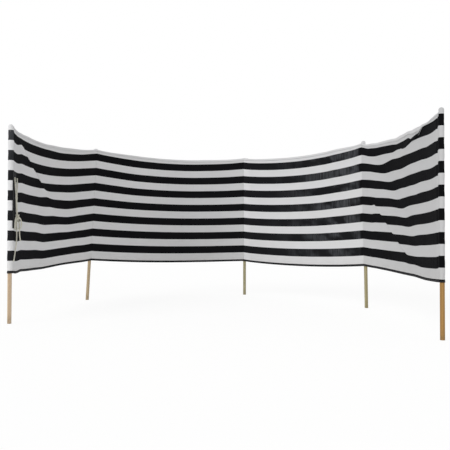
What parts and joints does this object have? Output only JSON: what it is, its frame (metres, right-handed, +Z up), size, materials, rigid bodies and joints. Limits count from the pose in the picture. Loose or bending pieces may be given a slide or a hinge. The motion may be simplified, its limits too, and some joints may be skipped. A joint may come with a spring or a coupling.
{
  "type": "beach windbreak",
  "caption": "Long strip of striped cloth on upright wooden poles that are pushed into sand or grass in a curve, with a tie cord at one end, to shelter people from the wind.",
  "frame": {"origin": "middle of the flat foot of pole 3, the middle pole, at the ground", "axes": "+Z up, +X to the right and +Y away from someone who stands in the shelter's open side"},
  "size_m": [2.1546, 2.1819, 1.0776],
  "materials": {
    "wood": "plain, weathered dowel",
    "striped_cloth": "black and white woven stripes",
    "black_binding": "black tape binding",
    "tie_cord": "cream twisted cord"
  },
  "bodies": {
    "root": {"pole_1": "wood", "sleeve_1": "striped_cloth", "sleeve_cuff_1": "black_binding", "pole_2": "wood", "sleeve_2": "striped_cloth", "sleeve_cuff_2": "black_binding", "pole_3": "wood", "sleeve_3": "striped_cloth", "sleeve_cuff_3": "black_binding", "pole_4": "wood", "sleeve_4": "striped_cloth", "sleeve_cuff_4": "black_binding", "pole_5": "wood", "sleeve_5": "striped_cloth", "sleeve_cuff_5": "black_binding", "cloth_bay_1": "striped_cloth", "top_hem_1": "striped_cloth", "bottom_binding_1": "black_binding", "cloth_bay_2": "striped_cloth", "top_hem_2": "striped_cloth", "bottom_binding_2": "black_binding", "cloth_bay_3": "striped_cloth", "top_hem_3": "striped_cloth", "bottom_binding_3": "black_binding", "cloth_bay_4": "striped_cloth", "top_hem_4": "striped_cloth", "bottom_binding_4": "black_binding", "tie_strand_1": "tie_cord", "tie_strand_2": "tie_cord", "tie_loop_right": "tie_cord", "tie_loop_left": "tie_cord", "tie_tail_long": "tie_cord", "tie_tail_short": "tie_cord", "tie_knot_small": "tie_cord", "tie_knot_main": "tie_cord"}
  },
  "joints": []
}
